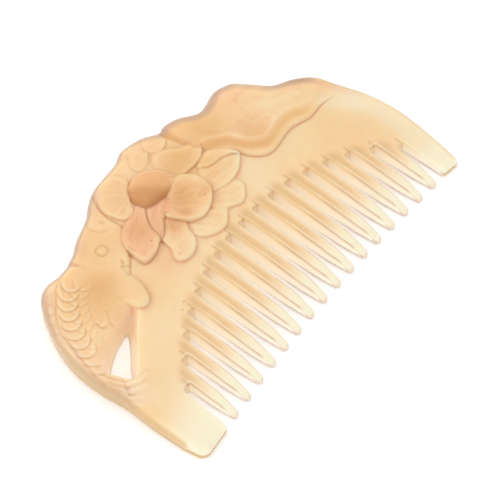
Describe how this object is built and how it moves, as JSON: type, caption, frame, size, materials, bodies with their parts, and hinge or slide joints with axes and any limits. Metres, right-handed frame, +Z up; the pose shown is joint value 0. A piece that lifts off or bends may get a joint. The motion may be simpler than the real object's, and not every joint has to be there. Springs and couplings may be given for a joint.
{
  "type": "scalp massage comb",
  "caption": "Thick hand comb of translucent yellow stone, with blunt teeth for massaging the scalp and a back carved with a lotus flower, its leaf and a carp.",
  "frame": {"origin": "middle of the comb's outline on the flat underside it lies on", "axes": "+X along the tooth row from the carp's end to the leaf's end, +Y from the tips to the carved back, +Z up out of the carved front"},
  "size_m": [0.114, 0.0718, 0.0103],
  "materials": {
    "stone": "waxy polish, translucent",
    "tooth_stone": "waxy polish, translucent, thinner and so paler"
  },
  "bodies": {
    "root": {"back": "stone", "guard_left": "stone", "guard_right": "stone", "tooth_01": "tooth_stone", "tooth_02": "tooth_stone", "tooth_03": "tooth_stone", "tooth_04": "tooth_stone", "tooth_05": "tooth_stone", "tooth_06": "tooth_stone", "tooth_07": "tooth_stone", "tooth_08": "tooth_stone", "tooth_09": "tooth_stone", "tooth_10": "tooth_stone", "tooth_11": "tooth_stone", "tooth_12": "tooth_stone", "tooth_13": "tooth_stone", "tooth_14": "tooth_stone", "tooth_15": "tooth_stone", "tooth_16": "tooth_stone"}
  },
  "joints": []
}
